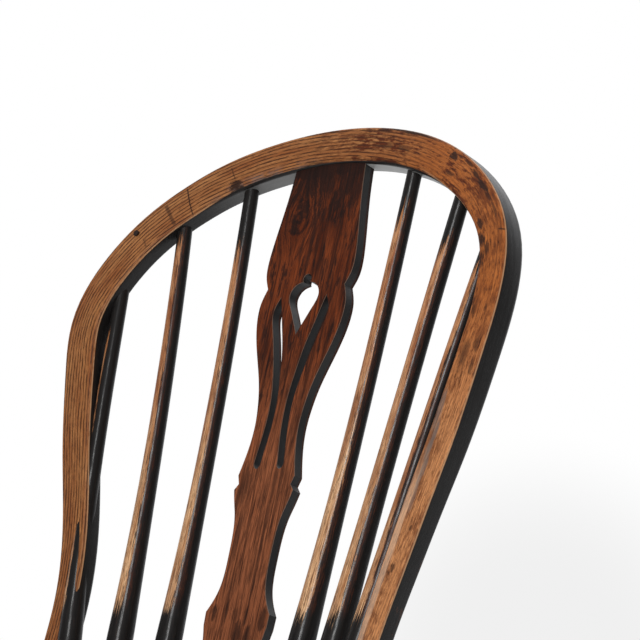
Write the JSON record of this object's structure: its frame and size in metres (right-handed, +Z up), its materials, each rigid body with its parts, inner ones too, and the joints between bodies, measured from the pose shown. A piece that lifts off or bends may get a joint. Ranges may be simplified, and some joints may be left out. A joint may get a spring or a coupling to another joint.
{
  "type": "side chair",
  "caption": "Wooden hoop-back side chair with a pierced vase-shaped splat between slender spindles, a hollowed seat and splayed turned legs joined by stretchers.",
  "frame": {"origin": "on the floor, under the middle of the chair's bounding box", "axes": "+Z up, the chair faces -Y, +X to the right of someone looking at its front"},
  "size_m": [0.4105, 0.5178, 0.884],
  "materials": {
    "ash_hoop": "old waxed polish, worn golden on the flat front, nearly black on the sides",
    "splat_wood": "dark red-brown polish, streaked darker along the grain",
    "spindle_wood": "dark polish worn to bare tan on the front",
    "elm_seat": "worn wax polish, darker round the rim",
    "turned_wood": "dark polish, worn on the swellings",
    "small_pieces": "dark end grain"
  },
  "bodies": {
    "root": {"seat": "elm_seat", "hoop": "ash_hoop", "splat": "splat_wood", "spindle_left_inner": "spindle_wood", "spindle_right_inner": "spindle_wood", "spindle_left_middle": "spindle_wood", "spindle_right_middle": "spindle_wood", "spindle_left_outer": "spindle_wood", "spindle_right_outer": "spindle_wood", "leg_front_left": "turned_wood", "leg_front_right": "turned_wood", "leg_back_left": "turned_wood", "leg_back_right": "turned_wood", "stretcher_left": "turned_wood", "stretcher_right": "turned_wood", "stretcher_cross": "turned_wood", "wedge_left": "small_pieces", "wedge_right": "small_pieces", "hoop_peg": "small_pieces"}
  },
  "joints": []
}
